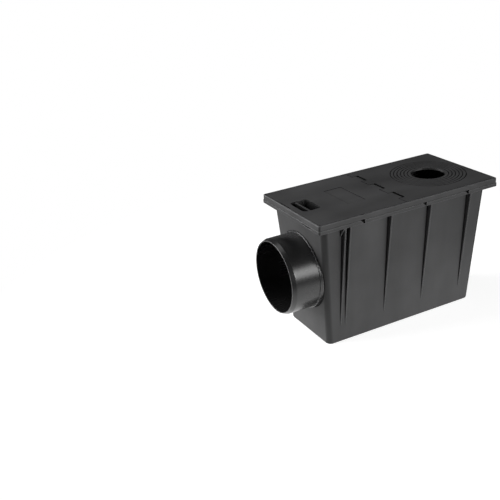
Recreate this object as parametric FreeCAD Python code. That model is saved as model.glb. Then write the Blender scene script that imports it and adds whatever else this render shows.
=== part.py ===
import FreeCAD, Part
import math
import os

# Rainwater silt trap with a side outlet, a lifting inspection lid and a strainer plate.
# Millimetres. Z = 0 is the underside of the box, +X runs from the outlet to the inlet end.

# Flange and box
flange_length = 300.0
flange_width = 155.0
trap_height = 197.0
band_height = 12.5
band_wall = 2.5
band_corner = 2.5
band_chamfer = 0.6
lip_height = 5.0
lip_step = 0.6
ledge_plate = 2.0
end_overhang = 11.8
side_overhang = 10.2
end_draft = 10.8
side_draft = 14.0
box_wall = 2.5
floor_thickness = 2.5
box_corner = 8.5
foot_round = 3.0

# Stiffening fins under the flange, the first pair stands beside the strainer guides
fin_places = (-107.5, -99.5, -33.0, 34.0, 104.0)
fin_thickness = 2.0
fin_depth = 8.0
fin_foot = 26.0
gusset_depth = 9.6
gusset_height = 15.0
gusset_thickness = 4.5

# Snap windows in the band and the slot in the outlet end of the band
lid_window_x = -82.2
cover_window_places = (20.0, 94.5)
window_width = 6.6
window_height = 5.3
window_sill = 0.5
window_slope_width = 4.6
nose_width = 4.0
nose_offset = 0.8
nose_reach = 1.0
nose_height = 2.8
nose_clearance = 0.3
lead_in_depth = 1.3
lead_in_margin = 1.0
end_slot_y = -46.0
end_slot_length = 24.0
end_slot_height = 1.6
end_slot_depth = 1.2

# Outlet spigot
spigot_radius = 55.0
spigot_wall = 3.6
spigot_height = 103.0
spigot_reach = 47.0
lead_length = 6.0
lead_depth = 2.4
shoulder_radius = 56.4
shoulder_thickness = 1.0
root_radius = 53.8
root_clearance = 0.15
spigot_inner_reach = 2.0

# Lid and cover plates
plate_thickness = 3.0
plate_clearance = 0.3
plate_chamfer = 0.5
lid_lift_clearance = 0.3
skirt_wall = 2.4
rib_pitch = 24.5
rib_rows = 2
rib_thickness = 2.0
rib_depth = 5.0
cross_rib_pitch = 35.5
cross_rib_count = 3
cross_rib_thickness = 1.5
cross_rib_depth = 3.6

# Hinge between lid and cover
hinge_x = -3.3
hinge_setback = 4.9
knuckle_radius = 4.0
axle_radius = 1.6
axle_clearance = 0.06
tab_width = 24.0
tab_pitch = 44.5
tab_side_clearance = 0.5
seam_clearance = 0.35
pocket_gap = 1.1
pocket_wall = 2.2
hook_slot = 2.7

# Grip cup, bar and blank panel in the lid
grip_x = -124.0
grip_length = 28.0
grip_width = 41.0
grip_corner = 6.0
grip_depth = 20.0
grip_wall = 2.0
grip_outlet_slope = 9.0
grip_inlet_slope = 4.5
grip_side_slope = 4.0
grip_foot_chamfer = 3.0
grip_floor_chamfer = 1.5
grip_bar_offset = -4.3
grip_bar_width = 3.5
grip_bar_depth = 5.0
grip_bar_drop = 0.8
drain_length = 8.5
drain_width = 20.0
panel_x = -60.0
panel_length = 28.0
panel_width = 63.0
panel_depth = 0.4
notch_y = 17.0
notch_width = 29.0
notch_depth = 1.0
slit_width = 2.0
slit_spacing = 4.3

# Inlet hole and the grooved rings around it, along which the plate is cut for wider downpipes
inlet_x = 87.5
inlet_radius = 25.0
ring_first = 30.0
ring_pitch = 5.0
ring_count = 6
ring_width = 1.2
ring_depth = 0.8
ring_margin = 3.0

# Strainer plate and its guides
strainer_x = -103.5
strainer_thickness = 2.5
strainer_height = 172.0
strainer_side_clearance = 0.8
strainer_floor_gap = 0.3
strainer_running_gap = 0.4
hole_radius = 4.0
hole_sides = 16
hole_edge = 6.0
hole_columns = 8
hole_row_pitch = 10.4
hole_row_count = 4
first_row_height = 47.0
guide_rib = 2.0
guide_depth = 5.0
guide_height = 178.0

# Places that follow from the sizes above
band_foot = trap_height - band_height
ledge_top = band_foot + ledge_plate
plate_foot = trap_height - plate_thickness
hinge_z = trap_height - knuckle_radius
seam_x = hinge_x - hinge_setback
pocket_end = hinge_x + knuckle_radius + pocket_gap
beam_back = pocket_end + pocket_wall
seam_radius = math.hypot(hinge_setback, knuckle_radius) + seam_clearance
rim_half_x = flange_length / 2 - band_wall
rim_half_y = flange_width / 2 - band_wall
plate_half_x = rim_half_x - plate_clearance
plate_half_y = rim_half_y - plate_clearance
window_foot = band_foot + window_sill
over = 1.0

X = FreeCAD.Vector(1, 0, 0)
Y = FreeCAD.Vector(0, 1, 0)
Z = FreeCAD.Vector(0, 0, 1)


def point(x, y, z):
    return FreeCAD.Vector(x, y, z)


def block(x_low, x_high, y_low, y_high, z_low, z_high):
    """A box between two corners."""
    corner = point(x_low, y_low, z_low)
    return Part.makeBox(x_high - x_low, y_high - y_low, z_high - z_low, corner)


def profile_x(outline, x_low, x_high):
    """A solid from an outline of (y, z) points, drawn out along X."""
    corners = [point(x_low, y, z) for y, z in outline]
    return Part.Face(Part.makePolygon(corners + corners[:1])).extrude(X * (x_high - x_low))


def profile_y(outline, y_low, y_high):
    """A solid from an outline of (x, z) points, drawn out along Y."""
    corners = [point(x, y_low, z) for x, z in outline]
    return Part.Face(Part.makePolygon(corners + corners[:1])).extrude(Y * (y_high - y_low))


def rounded_outline(half_x, half_y, radius, z, middle=(0.0, 0.0)):
    """A closed rectangle with round corners, lying flat at height z."""
    quarters = ((1, 1, 0), (-1, 1, 90), (-1, -1, 180), (1, -1, 270))
    arcs = []
    for side_x, side_y, start in quarters:
        centre = point(middle[0] + side_x * (half_x - radius), middle[1] + side_y * (half_y - radius), z)
        arcs.append(Part.makeCircle(radius, centre, Z, start, start + 90))
    edges = []
    for arc, following in zip(arcs, arcs[1:] + arcs[:1]):
        edges.append(arc)
        edges.append(Part.makeLine(arc.lastVertex().Point, following.firstVertex().Point))
    return Part.Wire(edges)


def rounded_prism(half_x, half_y, radius, z_low, z_high, middle=(0.0, 0.0)):
    """An upright prism over a rectangle with round corners."""
    outline = rounded_outline(half_x, half_y, radius, z_low, middle)
    return Part.Face(outline).extrude(Z * (z_high - z_low))


def end_wall(z):
    """Half length of the box, outside, at height z. The walls lean out towards the top."""
    return flange_length / 2 - end_overhang - end_draft * (band_foot - z) / band_foot


def side_wall(z):
    """Half width of the box, outside, at height z."""
    return flange_width / 2 - side_overhang - side_draft * (band_foot - z) / band_foot


def leaning_block(low, high, corner):
    """A block with leaning sides and round corners. Its ends are (x low, x high, half width, z)."""
    lengthwise = [(low[0], low[3]), (low[1], low[3]), (high[1], high[3]), (high[0], high[3])]
    across = [(-low[2], low[3]), (low[2], low[3]), (high[2], high[3]), (-high[2], high[3])]
    solid = profile_y(lengthwise, -flange_width, flange_width)
    solid = solid.common(profile_x(across, -flange_length, flange_length))
    height = high[3] - low[3]
    return solid.makeFillet(corner, [edge for edge in solid.Edges if edge.BoundBox.ZLength > height / 2])


def tapered_block(inset, z_low, z_high):
    """The leaning form of the box between two heights, moved inwards by inset."""
    ends = []
    for z in (z_low, z_high):
        half_x = end_wall(z) - inset
        ends.append((-half_x, half_x, side_wall(z) - inset, z))
    return leaning_block(*ends, box_corner - inset)


def edges_at(shape, z):
    """The edges of a shape that lie flat at height z."""
    flat = []
    for edge in shape.Edges:
        if abs(edge.BoundBox.ZMin - z) < 0.001 and abs(edge.BoundBox.ZMax - z) < 0.001:
            flat.append(edge)
    return flat


def seat_plate(foot):
    """The outline that fits inside the band, with a small chamfer along its top edge."""
    plate = rounded_prism(plate_half_x, plate_half_y, band_corner - band_wall / 2, foot, trap_height)
    return plate.makeChamfer(plate_chamfer, edges_at(plate, trap_height))


def join(first, *others):
    """One solid from several that meet."""
    return first.fuse(list(others)).removeSplitter()


def make_fins():
    """Thin fins on both long walls, deep under the flange and running out near the foot."""
    wall_top = side_wall(band_foot)
    wall_low = side_wall(fin_foot)
    fins = []
    for side in (-1, 1):
        outline = [(side * (wall_top - over), band_foot + over),
                   (side * (wall_top + fin_depth), band_foot + over),
                   (side * (wall_top + fin_depth), band_foot),
                   (side * wall_low, fin_foot),
                   (side * (wall_low - over), fin_foot)]
        for place in fin_places:
            fins.append(profile_x(outline, place - fin_thickness / 2, place + fin_thickness / 2))
        gusset_low = band_foot - gusset_height
        gusset = [(side * (wall_top - over), band_foot + over),
                  (side * (wall_top + gusset_depth), band_foot + over),
                  (side * (wall_top + gusset_depth), band_foot),
                  (side * side_wall(gusset_low), gusset_low),
                  (side * (side_wall(gusset_low) - over), gusset_low)]
        fin_face = fin_places[0] + fin_thickness / 2
        fins.append(profile_x(gusset, fin_face - gusset_thickness, fin_face))
    return fins


def make_guides():
    """Two upright ribs inside each long wall, with the edge of the strainer plate between them."""
    gap = strainer_thickness / 2 + strainer_running_gap
    guides = []
    for side in (-1, 1):
        outline = []
        foot = floor_thickness - over
        corners = ((foot, -over), (foot, guide_depth), (guide_height, guide_depth), (guide_height, -over))
        for z, step in corners:
            outline.append((side * (side_wall(z) - box_wall - step), z))
        for low in (strainer_x - gap - guide_rib, strainer_x + gap):
            guides.append(profile_x(outline, low, low + guide_rib))
    return guides


def window_outline(place):
    """A snap window seen from the side, with its lower corner towards the outlet sloped off."""
    low = place - window_width / 2
    high = place + window_width / 2
    top = window_foot + window_height
    return [(low, top), (high, top), (high, window_foot), (low + window_slope_width, window_foot)]


def make_windows():
    """Openings through the band for the snap noses of lid and cover, on both sides."""
    windows = []
    for side in (-1, 1):
        through = sorted((side * rim_half_y, side * (rim_half_y + band_wall + over)))
        for place in (lid_window_x,) + cover_window_places:
            windows.append(profile_y(window_outline(place), *through))
        middle = lid_window_x + nose_offset
        half = nose_width / 2 + lead_in_margin
        face = rim_half_y + lead_in_depth
        y_range = sorted((side * (rim_half_y - over), side * face))
        windows.append(block(middle - half, middle + half, *y_range,
                             window_foot + window_height - over, trap_height + over))
    return windows


def make_trap_box():
    """The moulded box: leaning walls, floor, flange with its upright band, fins and guides."""
    half_x = flange_length / 2
    half_y = flange_width / 2
    body = tapered_block(0.0, 0.0, band_foot + ledge_plate / 2)
    body = body.makeFillet(foot_round, edges_at(body, 0.0))
    lip = rounded_prism(half_x, half_y, band_corner, band_foot, band_foot + lip_height)
    lip_edges = edges_at(lip, band_foot) + edges_at(lip, band_foot + lip_height)
    lip = lip.makeChamfer(band_chamfer / 2, lip_edges)
    band = rounded_prism(half_x - lip_step, half_y - lip_step, band_corner,
                         band_foot + lip_height / 2, trap_height)
    band = band.makeChamfer(band_chamfer, edges_at(band, trap_height))
    body = join(body, lip, band, *make_fins())
    seat = rounded_prism(rim_half_x, rim_half_y, band_corner - band_wall / 2, ledge_top, trap_height + over)
    cavity = tapered_block(box_wall, floor_thickness, ledge_top + over)
    body = body.cut([seat, cavity])
    body = join(body, *make_guides())
    end_slot = block(-half_x - over, -half_x + end_slot_depth, end_slot_y - end_slot_length / 2,
                     end_slot_y + end_slot_length / 2, ledge_top, ledge_top + end_slot_height)
    spigot_hole = Part.makeCylinder(root_radius + root_clearance, end_wall(band_foot),
                                    point(-end_wall(band_foot) - over, 0, spigot_height), X)
    return body.cut(make_windows() + [end_slot, spigot_hole])


def make_outlet_spigot():
    """A pipe spigot: a lead-in at its mouth, a shoulder on the leaning wall and a root through it."""
    bore = spigot_radius - spigot_wall
    low = spigot_height - shoulder_radius
    high = spigot_height + shoulder_radius
    mouth = -end_wall(spigot_height) - spigot_reach
    shoulder = -end_wall(high) - shoulder_thickness
    inner_end = -end_wall(low) + box_wall + spigot_inner_reach
    outline = [(mouth, bore), (mouth, spigot_radius - lead_depth), (mouth + lead_length, spigot_radius),
               (shoulder, spigot_radius), (shoulder, root_radius),
               (inner_end, root_radius), (inner_end, bore)]
    corners = [point(x, 0, spigot_height + r) for x, r in outline]
    section = Part.Face(Part.makePolygon(corners + corners[:1]))
    tube = section.revolve(point(0, 0, spigot_height), X, 360)
    outside = profile_y([(shoulder, low), (-end_wall(low), low), (-end_wall(high), high), (shoulder, high)],
                        -shoulder_radius, shoulder_radius)
    disc = Part.makeCylinder(shoulder_radius, spigot_reach, point(shoulder, 0, spigot_height), X)
    hole = Part.makeCylinder(root_radius - over, spigot_reach, point(shoulder - over, 0, spigot_height), X)
    return join(tube, disc.common(outside).cut(hole))


def underside_ribs(x_low, x_high, cross_places, foot_wall):
    """The grid of ribs under a plate: rows along X and thinner ribs across."""
    ribs = []
    for row in range(-rib_rows, rib_rows + 1):
        middle = row * rib_pitch
        ribs.append(block(x_low, x_high, middle - rib_thickness / 2, middle + rib_thickness / 2,
                          plate_foot - rib_depth, plate_foot))
    for place in cross_places:
        ribs.append(block(place - cross_rib_thickness / 2, place + cross_rib_thickness / 2,
                          -foot_wall, foot_wall, plate_foot - cross_rib_depth, plate_foot))
    return ribs


def tab_places():
    """Middles of the three hinge tabs, across the width."""
    return [step * tab_pitch for step in (-1, 0, 1)]


def snap_nose(place, side, wall_y, reach):
    """A wedge on the skirt: flat on top to catch in its window, sloped below to slip in."""
    top = window_foot + window_height - nose_clearance
    outline = [(side * (wall_y - over), top), (side * (wall_y + reach), top),
               (side * (wall_y + reach), top - nose_height / 4), (side * (wall_y - over), top - nose_height)]
    low = place + nose_offset - nose_width / 2
    return profile_x(outline, low, low + nose_width)


def ring_groove(radius):
    """A groove with leaning sides, round the inlet hole."""
    half = ring_width / 2 * (1 + over / ring_depth)
    top = trap_height + over
    corners = [point(inlet_x + radius, 0, trap_height - ring_depth), point(inlet_x + radius + half, 0, top),
               point(inlet_x + radius - half, 0, top)]
    return Part.Face(Part.makePolygon(corners + corners[:1])).revolve(point(inlet_x, 0, 0), Z, 360)


def make_inlet_cover():
    """The fixed cover over the inlet end, with the inlet hole, cutting rings and hinge pockets."""
    inner_y = plate_half_y - skirt_wall
    inner_x = plate_half_x - skirt_wall
    inlet_end = block(seam_x, plate_half_x + over, -flange_width, flange_width, 0, trap_height + over)
    cover = seat_plate(ledge_top).common(inlet_end)
    cover = cover.cut(block(beam_back, inner_x, -inner_y, inner_y, 0, plate_foot))
    last_ring = ring_first + (ring_count - 1) * ring_pitch
    clear_field = Part.makeCylinder(last_ring + ring_margin, plate_foot, point(inlet_x, 0, 0), Z)
    ribs = [rib.cut(clear_field) for rib in underside_ribs(beam_back, inner_x, (), inner_y)]
    cover = join(cover, *ribs)
    cuts = [Part.makeCylinder(inlet_radius, band_height + over, point(inlet_x, 0, ledge_top - over), Z)]
    ring_field = block(beam_back + ring_margin, plate_half_x - ring_margin, ring_margin - plate_half_y,
                       plate_half_y - ring_margin, trap_height - ring_depth, trap_height + over)
    for step in range(ring_count):
        cuts.append(ring_groove(ring_first + step * ring_pitch).common(ring_field))
    cover = cover.cut(cuts + hinge_hollows())
    axles = []
    for middle in tab_places():
        start = middle - tab_width / 2 - tab_side_clearance - over
        axles.append(Part.makeCylinder(axle_radius, tab_width + 2 * (tab_side_clearance + over),
                                       point(hinge_x, start, hinge_z), Y))
    noses = []
    for place in cover_window_places:
        for side in (-1, 1):
            noses.append(snap_nose(place, side, plate_half_y, nose_reach))
    return join(cover, *axles, *noses)


def hinge_hollows():
    """Pockets for the lid's tabs, and the hollows moulded out between them."""
    half = tab_width / 2 + tab_side_clearance
    beam_top = hinge_z - knuckle_radius
    hollows = []
    for middle in tab_places():
        low = middle - half
        high = middle + half
        hollows.append(block(seam_x - over, pocket_end, low, high, beam_top, trap_height + over))
        hollows.append(block(seam_x + pocket_wall, pocket_end, low, high, 0, beam_top + over))
    edges = [-plate_half_y]
    for middle in tab_places():
        edges += [middle - half, middle + half]
    edges.append(plate_half_y)
    for low, high in zip(edges[::2], edges[1::2]):
        hollows.append(block(seam_x + pocket_wall, beam_back - pocket_wall, low + pocket_wall,
                             high - pocket_wall, 0, plate_foot))
    return hollows


def make_hinge_tab(middle):
    """A tab that reaches over the seam and hooks round its axle, open below."""
    low = middle - tab_width / 2
    high = middle + tab_width / 2
    neck = block(hinge_x - seam_radius - skirt_wall, hinge_x, low, high, plate_foot, trap_height)
    knuckle = Part.makeCylinder(knuckle_radius, tab_width, point(hinge_x, low, hinge_z), Y)
    bore = Part.makeCylinder(axle_radius + axle_clearance, tab_width + 2 * over,
                             point(hinge_x, low - over, hinge_z), Y)
    slot = block(hinge_x - hook_slot / 2, hinge_x + hook_slot / 2, low - over, high + over,
                 hinge_z - knuckle_radius - over, hinge_z)
    return join(neck, knuckle).cut([bore, slot])


def cup_form(wall, z_low, z_high):
    """The finger cup's form between two heights, grown outwards by a wall. It narrows downwards."""
    ends = []
    for z in (z_low, z_high):
        down = (trap_height - z) / (grip_depth - grip_wall)
        x_low = grip_x - grip_length / 2 + down * grip_outlet_slope - wall
        x_high = grip_x + grip_length / 2 - down * grip_inlet_slope + wall
        ends.append((x_low, x_high, grip_width / 2 - down * grip_side_slope + wall, z))
    return leaning_block(*ends, grip_corner + wall)


def make_grip_cup():
    """Outer and inner form of the finger cup, and the drain through its floor."""
    foot = trap_height - grip_depth
    inner_foot = foot + grip_wall
    outer = cup_form(grip_wall, foot, plate_foot)
    outer = outer.makeChamfer(grip_foot_chamfer, edges_at(outer, foot))
    inner = cup_form(0.0, inner_foot, trap_height + over)
    inner = inner.makeChamfer(grip_floor_chamfer, edges_at(inner, inner_foot))
    floor_middle = grip_x + (grip_outlet_slope - grip_inlet_slope) / 2
    drain = rounded_prism(drain_length / 2, drain_width / 2, drain_length / 3, foot - over,
                          inner_foot + over, (floor_middle, 0.0))
    return outer, inner, drain


def make_inspection_lid():
    """The lifting lid: plate, skirt and ribs, hinge tabs, finger cup with its bar and snap noses."""
    lid_foot = ledge_top + lid_lift_clearance
    inner_y = plate_half_y - skirt_wall
    lid_edge = hinge_x - math.sqrt(seam_radius ** 2 - knuckle_radius ** 2)
    seam_wall = hinge_x - seam_radius - skirt_wall
    outlet_end = block(-plate_half_x - over, lid_edge, -flange_width, flange_width, 0, trap_height + over)
    lid = seat_plate(lid_foot).common(outlet_end)
    lid = lid.cut(block(skirt_wall - plate_half_x, seam_wall, -inner_y, inner_y, 0, plate_foot))
    crossings = [seam_x - step * cross_rib_pitch for step in range(1, cross_rib_count + 1)]
    outer_cup, inner_cup, drain = make_grip_cup()
    lid = join(lid, outer_cup, *underside_ribs(skirt_wall - plate_half_x, seam_wall, crossings, inner_y))
    sweep = Part.makeCylinder(seam_radius, flange_width, point(hinge_x, -flange_width / 2, hinge_z), Y)
    below = block(hinge_x - seam_radius, hinge_x, -flange_width, flange_width, 0, hinge_z)
    panel = block(panel_x - panel_length / 2, panel_x + panel_length / 2, -panel_width / 2, panel_width / 2,
                  trap_height - panel_depth, trap_height + over)
    notch = block(-plate_half_x - over, notch_depth - plate_half_x, notch_y - notch_width / 2,
                  notch_y + notch_width / 2, 0, trap_height + over)
    slits = []
    for side in (-1, 1):
        y_range = sorted((side * inner_y, side * (plate_half_y + over)))
        for step in (-1, 1):
            middle = lid_window_x + step * slit_spacing
            low = middle - slit_width / 2
            slits.append(block(low, low + slit_width, *y_range, 0, plate_foot - over))
    lid = lid.cut([sweep, below, panel, notch, inner_cup, drain] + slits)
    bar_x = grip_x + grip_bar_offset
    bar_top = trap_height - grip_bar_drop
    bar_half = grip_width / 2 + grip_wall / 4
    bar = block(bar_x - grip_bar_width / 2, bar_x + grip_bar_width / 2, -bar_half, bar_half,
                bar_top - grip_bar_depth, bar_top)
    noses = [snap_nose(lid_window_x, side, plate_half_y, nose_reach) for side in (-1, 1)]
    tabs = [make_hinge_tab(middle) for middle in tab_places()]
    return join(lid, bar, *noses, *tabs)


def strainer_hole(y, z):
    """A hole through the strainer. It has flat sides, so that the many holes stay light."""
    corners = []
    for side in range(hole_sides):
        angle = 2 * math.pi * side / hole_sides
        corners.append((y + hole_radius * math.cos(angle), z + hole_radius * math.sin(angle)))
    return profile_x(corners, strainer_x - strainer_thickness, strainer_x + strainer_thickness)


def make_strainer_plate():
    """A plate that follows the lean of the side walls, with staggered rows of holes."""
    low = floor_thickness + strainer_floor_gap
    high = low + strainer_height
    margin = box_wall + strainer_side_clearance
    outline = [(-side_wall(low) + margin, low), (side_wall(low) - margin, low),
               (side_wall(high) - margin, high), (-side_wall(high) + margin, high)]
    plate = profile_x(outline, strainer_x - strainer_thickness / 2, strainer_x + strainer_thickness / 2)
    last_y = side_wall(low + first_row_height) - margin - hole_edge - hole_radius
    hole_pitch = 2 * last_y / (hole_columns - 1)
    holes = []
    for row in range(hole_row_count):
        count = hole_columns - row % 2
        for step in range(count):
            y = (step - (count - 1) / 2) * hole_pitch
            holes.append(strainer_hole(y, low + first_row_height + row * hole_row_pitch))
    return plate.cut(holes)


def main():
    pieces = {"trap_box": make_trap_box(),
              "outlet_spigot": make_outlet_spigot(),
              "inlet_cover": make_inlet_cover(),
              "inspection_lid": make_inspection_lid(),
              "strainer_plate": make_strainer_plate()}
    os.makedirs("parts", exist_ok=True)
    for name, shape in pieces.items():
        box = shape.BoundBox
        shape.exportStep("parts/" + name + ".step")
        print(name, "valid", shape.isValid(), "solids", len(shape.Solids), "volume", round(shape.Volume),
              "x", round(box.XMin, 2), round(box.XMax, 2), "y", round(box.YMin, 2), round(box.YMax, 2),
              "z", round(box.ZMin, 2), round(box.ZMax, 2))


main()
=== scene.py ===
import bmesh
import bpy
import math
from mathutils import Matrix, Vector


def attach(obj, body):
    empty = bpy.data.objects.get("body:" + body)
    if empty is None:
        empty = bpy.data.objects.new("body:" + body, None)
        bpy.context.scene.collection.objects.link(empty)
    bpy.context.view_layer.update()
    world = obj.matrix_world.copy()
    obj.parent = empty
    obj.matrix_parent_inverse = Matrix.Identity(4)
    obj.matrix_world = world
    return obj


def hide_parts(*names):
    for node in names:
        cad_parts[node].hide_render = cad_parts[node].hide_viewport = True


# The silt trap closed, on a white studio floor, seen from its outlet end. Metres, in the CAD's frame.
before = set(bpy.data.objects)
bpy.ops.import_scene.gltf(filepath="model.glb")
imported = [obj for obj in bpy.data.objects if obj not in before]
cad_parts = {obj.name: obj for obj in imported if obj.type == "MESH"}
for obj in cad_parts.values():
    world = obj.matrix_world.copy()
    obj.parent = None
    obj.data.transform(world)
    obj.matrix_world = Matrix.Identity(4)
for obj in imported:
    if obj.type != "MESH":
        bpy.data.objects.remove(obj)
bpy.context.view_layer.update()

# The camera, fitted to the photograph's frame of 500 by 500 pixels
image_width = 500
camera_place = (-0.6169, -0.8585, 0.5787)
camera_yaw = 64.825
camera_pitch = -24.126
camera_roll = -4.738
camera_focus = 767.4
sensor_width = 36.0

# How a CAD mesh becomes one skin: vertices this near are one, and an edge that turns by more is crisp
merge_distance = 1e-6
crease_angle = math.radians(28)
spigot_crease_angle = math.radians(15)

# The directions that a mould's flow marks run in, as the stretch of their noise
unstretched = (1.0, 1.0, 1.0)
upright = (1.0, 1.0, 0.16)
lengthwise = (0.3, 1.0, 1.0)
drawn_out = (0.06, 1.0, 1.0)

# Where the masks begin and end: open sky in a recess and the normals' product round an upright corner,
# which place painted shade, and how far the eased normal of an edge is like the sharp one
recess_span = (0.95, 0.65)
recess_samples = 8
corner_span = (0.08, 0.38)
edge_mask_span = (0.995, 0.8)
edge_mask_samples = 6

# The moulded plastics, with their tones as shares of each one's own shade; among them painted shade
# and pale edges that are part wear and part painted highlight
plastic_ior = 1.49
tone_spread = 0.28
# Painted shade at each upright corner
corner_shade_tone = 0.1
corner_shade_cover = 0.85
# Pale edges: part wear, part a painted highlight
wear_and_highlight_tone = 4.0
moulded_edge = 0.0011
grain_height = 0.00006
grain_strength = 0.55
sheen_spread = 0.16
rubbed_polish = 0.12
# Painted shade: a near-black matte grey mixed in over recesses, gaps and dark edges
painted_shade_grey = 0.004
painted_shade_cover = 0.92

# The spigot's plastic
spigot_greys = (0.007, 0.012)
# A painted highlight on the spigot's rounded edges
spigot_edge_highlight_grey = 0.3
spigot_edge = 0.0007
spigot_roughness = 0.22
drawn_height = 0.000008
drawn_strength = 0.1

# Each lamp's place, width and power: one for the long side, one for the outlet end, a weak one
# overhead, and a wide dim one where the spigot mirrors it to the camera
lamps = {"side_lamp": ((0.12, -1.8, 0.68), 0.5, 19.5),
         "gloss_lamp": ((0.85, -1.65, 0.62), 0.85, 9.0),
         "outlet_lamp": ((-1.5, 0.85, 0.8), 1.3, 47.0),
         "top_lamp": ((-0.6, 0.6, 1.6), 1.0, 3.5)}
lamp_target = Vector((0.0, 0.0, 0.1))

# The room: how much soft light it gives, and what is left of that overhead
ambient = 0.09
ceiling = 0.2
ceiling_rise = 0.5

# The floor: its own light is added to the lamps' near the part, and stands alone past floor_far
white = (1.0, 1.0, 1.0, 1.0)
floor_size = 12.0
floor_colour = (0.55, 0.55, 0.55, 1.0)
floor_glow = 0.78
floor_near = 0.25
floor_far = 0.65

# Gloss mirrors the floor white up to mirrored_near, and a dim room past mirrored_far
mirrored_near = 0.2
mirrored_far = 0.38
mirrored_dim = 0.1


class Number:
    """A number socket that can stand in a sum, as in 1 - mask * 0.3."""

    def __init__(self, finish, socket):
        self.finish = finish
        self.socket = socket

    def combine(self, operation, first, second=0.0):
        """A Math node on one number or two."""
        made = self.finish.node("ShaderNodeMath", {"operation": operation}, {0: first, 1: second})
        return Number(self.finish, made.outputs[0])

    def __add__(self, other):
        return self.combine("ADD", self, other)

    def __radd__(self, other):
        return self.combine("ADD", other, self)

    def __sub__(self, other):
        return self.combine("SUBTRACT", self, other)

    def __rsub__(self, other):
        return self.combine("SUBTRACT", other, self)

    def __mul__(self, other):
        return self.combine("MULTIPLY", self, other)

    def __rmul__(self, other):
        return self.combine("MULTIPLY", other, self)


class Finish:
    """One material and its nodes."""

    def __init__(self, name, tree=None):
        if tree is None:
            self.material = bpy.data.materials.new(name)
            self.material.use_nodes = True
            tree = self.material.node_tree
        self.tree = tree
        self.tree.nodes.clear()

    def node(self, kind, settings=None, values=None):
        """Any node: its type, then its settings, then the values or links of its sockets."""
        made = self.tree.nodes.new(kind)
        for name, setting in (settings or {}).items():
            setattr(made, name, setting)
        for key, value in (values or {}).items():
            if isinstance(value, Number):
                value = value.socket
            if isinstance(value, bpy.types.NodeSocket):
                self.tree.links.new(value, made.inputs[key])
            else:
                made.inputs[key].default_value = value
        return made

    def number(self, kind, settings, values, output):
        return Number(self, self.node(kind, settings, values).outputs[output])

    def place(self, stretch=unstretched):
        """Object coordinates, stretched along the axes."""
        coordinates = self.node("ShaderNodeTexCoord").outputs["Object"]
        return self.node("ShaderNodeMapping", None, {"Vector": coordinates, "Scale": stretch}).outputs[0]

    def noise(self, scale, detail=2.0, stretch=unstretched):
        values = {"Vector": self.place(stretch), "Scale": scale, "Detail": detail}
        return self.number("ShaderNodeTexNoise", None, values, "Fac")

    def span(self, value, low, high, new_low, new_high):
        """A value moved from one range to another and held inside it."""
        values = {"Value": value, "From Min": low, "From Max": high, "To Min": new_low, "To Max": new_high}
        return self.number("ShaderNodeMapRange", {"clamp": True}, values, 0)

    def colours(self, mask, first, second):
        """Two colours mixed by a mask."""
        values = {"Factor": mask, 6: first, 7: second}
        return self.node("ShaderNodeMix", {"data_type": "RGBA"}, values).outputs[2]

    def bump(self, strength, height, mask, normal):
        """A normal raised by a mask, up to a height in metres."""
        values = {"Strength": strength, "Distance": height, "Height": mask, "Normal": normal}
        return self.node("ShaderNodeBump", None, values).outputs[0]

    def recess(self, depth):
        """One in the bottom of recesses and gaps narrower than a depth, nought in the open: where painted
        shade goes.
        """
        settings = {"samples": recess_samples, "only_local": False}
        open_sky = self.number("ShaderNodeAmbientOcclusion", settings, {"Distance": depth}, "AO")
        return self.span(open_sky, *recess_span, 0.0, 1.0)

    def corners(self):
        """One where a wall turns round an upright corner, where a painted shade darkens it, nought on flats.
        """
        normal = self.node("ShaderNodeTexCoord").outputs["Normal"]
        parts = self.node("ShaderNodeSeparateXYZ", None, {0: normal})
        turned = Number(self, parts.outputs["X"]) * Number(self, parts.outputs["Y"])
        return self.span(turned.combine("ABSOLUTE", turned), *corner_span, 0.0, 1.0)

    def eased_edges(self, radius):
        """The normal with its edges eased, and a mask of the edges, which carries wear, painted highlights
        and painted shade.
        """
        eased = self.node("ShaderNodeBevel", {"samples": edge_mask_samples}, {"Radius": radius}).outputs[0]
        sharp = self.node("ShaderNodeNewGeometry").outputs["Normal"]
        settings = {"operation": "DOT_PRODUCT"}
        alike = self.number("ShaderNodeVectorMath", settings, {0: eased, 1: sharp}, "Value")
        return eased, self.span(alike, *edge_mask_span, 0.0, 1.0)


def grey(level):
    return (level, level, level * 1.02, 1.0)


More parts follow.
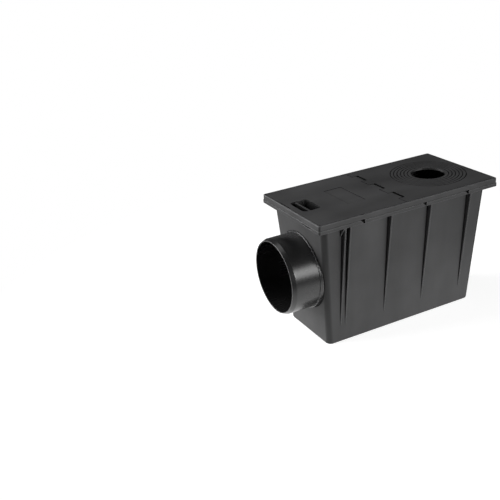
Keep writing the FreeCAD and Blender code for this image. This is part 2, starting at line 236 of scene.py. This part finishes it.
def moulded_plastic(name, shade, roughness, flow, wear_and_highlight, painted_edge_shade, recess_depth, grain=1000.0):
    """Black polypropylene from a spark-eroded mould: fine grain and faint flow marks. Its edges are painted
    paler, as wear and a painted highlight, or darker as painted shade, each from nought to one; painted
    shade also lies in its recesses up to a depth, and darkens each upright corner."""
    finish = Finish(name)
    eased, edge_mask = finish.eased_edges(moulded_edge)
    streaks = finish.noise(26.0, 3.0, flow)
    clouds = finish.noise(11.0, 2.0)
    tone = finish.span(streaks * 0.5 + clouds * 0.5, 0.35, 0.65, 0.0, 1.0)
    body = finish.colours(tone, grey(shade * (1 - tone_spread)), grey(shade * (1 + tone_spread)))
    # Painted shade: each upright corner darkened
    body = finish.colours(finish.corners() * corner_shade_cover, body, grey(shade * corner_shade_tone))
    # The edges paler: part wear, part a painted highlight
    colour = finish.colours(edge_mask * wear_and_highlight, body, grey(shade * wear_and_highlight_tone))
    fine = finish.noise(grain, 2.0)
    coarse = finish.noise(grain * 0.3, 1.0)
    bump = finish.bump(grain_strength, grain_height, fine * 0.7 + coarse * 0.3, eased)
    sheen = finish.noise(34.0, 3.0)
    values = {"Base Color": colour, "IOR": plastic_ior, "Specular IOR Level": 0.5, "Normal": bump,
              "Roughness": roughness + (sheen - 0.5) * sheen_spread - edge_mask * rubbed_polish}
    plastic = finish.node("ShaderNodeBsdfPrincipled", None, values)
    # Painted shade: a near-black matte shader mixed in over recesses and gaps, and over the edges set dark
    painted_shade = finish.node("ShaderNodeBsdfDiffuse", None, {"Color": grey(painted_shade_grey)})
    painted_shade_mask = finish.recess(recess_depth) * painted_shade_cover
    # Painted shade along the edges too, as dark lines at the seams and gaps
    painted_shade_mask = painted_shade_mask.combine("MAXIMUM", painted_shade_mask, edge_mask * painted_edge_shade)
    values = {0: painted_shade_mask, 1: plastic.outputs[0], 2: painted_shade.outputs[0]}
    shader = finish.node("ShaderNodeMixShader", None, values)
    finish.node("ShaderNodeOutputMaterial", None, {"Surface": shader.outputs[0]})
    return finish.material


def spigot_plastic():
    """Polished black plastic, with hair-fine drawing marks along the pipe, and a painted highlight on its
    edges.
    """
    finish = Finish("spigot_plastic")
    eased, edge_mask = finish.eased_edges(spigot_edge)
    drawn = finish.noise(220.0, 3.0, drawn_out)
    clouds = finish.noise(30.0, 2.0)
    body = finish.colours(clouds, *[grey(level) for level in spigot_greys])
    # A painted highlight on the rounded edges
    colour = finish.colours(edge_mask, body, grey(spigot_edge_highlight_grey))
    bump = finish.bump(drawn_strength, drawn_height, drawn, eased)
    values = {"Base Color": colour, "IOR": plastic_ior, "Specular IOR Level": 0.7, "Normal": bump,
              "Roughness": spigot_roughness + drawn * 0.04 + clouds * 0.05}
    shader = finish.node("ShaderNodeBsdfPrincipled", None, values)
    finish.node("ShaderNodeOutputMaterial", None, {"Surface": shader.outputs[0]})
    return finish.material


def skin(node, name, crease):
    """A CAD node's mesh as one skin, smooth over its curved faces and crisp where it turns by a crease."""
    form = bmesh.new()
    form.from_mesh(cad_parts[node].data)
    bmesh.ops.remove_doubles(form, verts=form.verts, dist=merge_distance)
    for edge in form.edges:
        edge.smooth = edge.calc_face_angle(math.pi) < crease
    for face in form.faces:
        face.smooth = True
        face.material_index = 0
    mesh = bpy.data.meshes.new(name)
    form.to_mesh(mesh)
    form.free()
    piece = bpy.data.objects.new(name, mesh)
    bpy.context.scene.collection.objects.link(piece)
    weighted = piece.modifiers.new("weighted", "WEIGHTED_NORMAL")
    weighted.keep_sharp = True
    weighted.weight = 100
    return piece


def dress(name, node, body, material, crease=crease_angle):
    """A finished piece in the place of its CAD node, riding on the node's body."""
    piece = skin(node, name, crease)
    piece.data.materials.append(material)
    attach(piece, body)
    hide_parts(node)


def make_pieces():
    box = moulded_plastic("box_plastic", 0.044, 0.56, upright, wear_and_highlight=1.0, painted_edge_shade=0.0, recess_depth=0.002)
    dress("moulded_box", "trap_box", "box", box)
    dress("side_spigot", "outlet_spigot", "box", spigot_plastic(), spigot_crease_angle)
    cover = moulded_plastic("cover_plastic", 0.041, 0.55, lengthwise, wear_and_highlight=0.0, painted_edge_shade=0.8, recess_depth=0.03)
    dress("fixed_cover", "inlet_cover", "box", cover)
    lid = moulded_plastic("lid_plastic", 0.047, 0.55, lengthwise, wear_and_highlight=0.0, painted_edge_shade=0.8, recess_depth=0.03)
    dress("lifting_lid", "inspection_lid", "lid", lid)
    strainer = moulded_plastic("strainer_plastic", 0.034, 0.46, upright, wear_and_highlight=0.4, painted_edge_shade=0.0,
                               recess_depth=0.004, grain=700.0)
    dress("strainer", "strainer_plate", "strainer", strainer)


def white_for_the_eye(finish, mirrored=1.0):
    """One where a ray comes from the camera or through glass, mirrored by gloss, nought for soft light."""
    path = finish.node("ShaderNodeLightPath")
    seen = Number(finish, path.outputs["Is Camera Ray"])
    seen = seen.combine("MAXIMUM", seen, Number(finish, path.outputs["Is Transmission Ray"]))
    return seen.combine("MAXIMUM", seen, Number(finish, path.outputs["Is Glossy Ray"]) * mirrored)


def make_floor():
    """A white floor that keeps the shadow."""
    form = bmesh.new()
    bmesh.ops.create_grid(form, x_segments=1, y_segments=1, size=floor_size / 2)
    mesh = bpy.data.meshes.new("studio_floor")
    form.to_mesh(mesh)
    form.free()
    floor = bpy.data.objects.new("studio_floor", mesh)
    bpy.context.scene.collection.objects.link(floor)
    finish = Finish("floor_paper")
    distance = finish.number("ShaderNodeVectorMath", {"operation": "LENGTH"}, {0: finish.place()}, "Value")
    seen = white_for_the_eye(finish, finish.span(distance, mirrored_near, mirrored_far, 1.0, mirrored_dim))
    soft = finish.node("ShaderNodeBsdfDiffuse", None, {"Color": floor_colour})
    glow = finish.node("ShaderNodeEmission", None, {"Color": white, "Strength": seen * floor_glow})
    near = finish.node("ShaderNodeAddShader", None, {0: soft.outputs[0], 1: glow.outputs[0]})
    far = finish.node("ShaderNodeEmission", None, {"Color": white, "Strength": seen})
    fade = finish.span(distance, floor_near, floor_far, 0.0, 1.0)
    values = {0: fade, 1: near.outputs[0], 2: far.outputs[0]}
    shader = finish.node("ShaderNodeMixShader", None, values)
    finish.node("ShaderNodeOutputMaterial", None, {"Surface": shader.outputs[0]})
    mesh.materials.append(finish.material)


def make_world():
    """White walls that fade into a dim ceiling, which the camera itself sees as white."""
    world = bpy.data.worlds.new("studio")
    world.use_nodes = True
    bpy.context.scene.world = world
    finish = Finish("studio", world.node_tree)
    seen = white_for_the_eye(finish, mirrored_dim)
    direction = finish.node("ShaderNodeTexCoord").outputs["Generated"]
    up = finish.number("ShaderNodeSeparateXYZ", None, {0: direction}, "Z")
    room = finish.span(up, 0.0, ceiling_rise, 1.0, ceiling)
    eye = Number(finish, finish.node("ShaderNodeLightPath").outputs["Is Camera Ray"])
    strength = ambient * room + seen * (1.0 - ambient) * room
    strength = strength.combine("MAXIMUM", strength, eye)
    sky = finish.node("ShaderNodeBackground", None, {"Color": white, "Strength": strength})
    finish.node("ShaderNodeOutputWorld", None, {"Surface": sky.outputs[0]})


def make_lamps():
    for name, (place, size, power) in lamps.items():
        light = bpy.data.lights.new(name, "AREA")
        light.shape = "SQUARE"
        light.size = size
        light.energy = power
        lamp = bpy.data.objects.new(name, light)
        lamp.location = place
        lamp.rotation_euler = (lamp_target - Vector(place)).to_track_quat("-Z", "Y").to_euler()
        bpy.context.scene.collection.objects.link(lamp)


def make_camera():
    data = bpy.data.cameras.new("camera")
    data.sensor_width = sensor_width
    data.lens = camera_focus / image_width * sensor_width
    data.clip_start = 0.01
    camera = bpy.data.objects.new("camera", data)
    camera.location = camera_place
    turn = Matrix.Rotation(math.radians(camera_yaw - 90), 3, "Z")
    tilt = Matrix.Rotation(math.radians(camera_pitch + 90), 3, "X")
    roll = Matrix.Rotation(math.radians(camera_roll), 3, "Z")
    camera.rotation_euler = (turn @ tilt @ roll).to_euler()
    bpy.context.scene.collection.objects.link(camera)
    bpy.context.scene.camera = camera


make_pieces()
make_floor()
make_world()
make_lamps()
make_camera()
bpy.context.scene.view_settings.view_transform = "Standard"
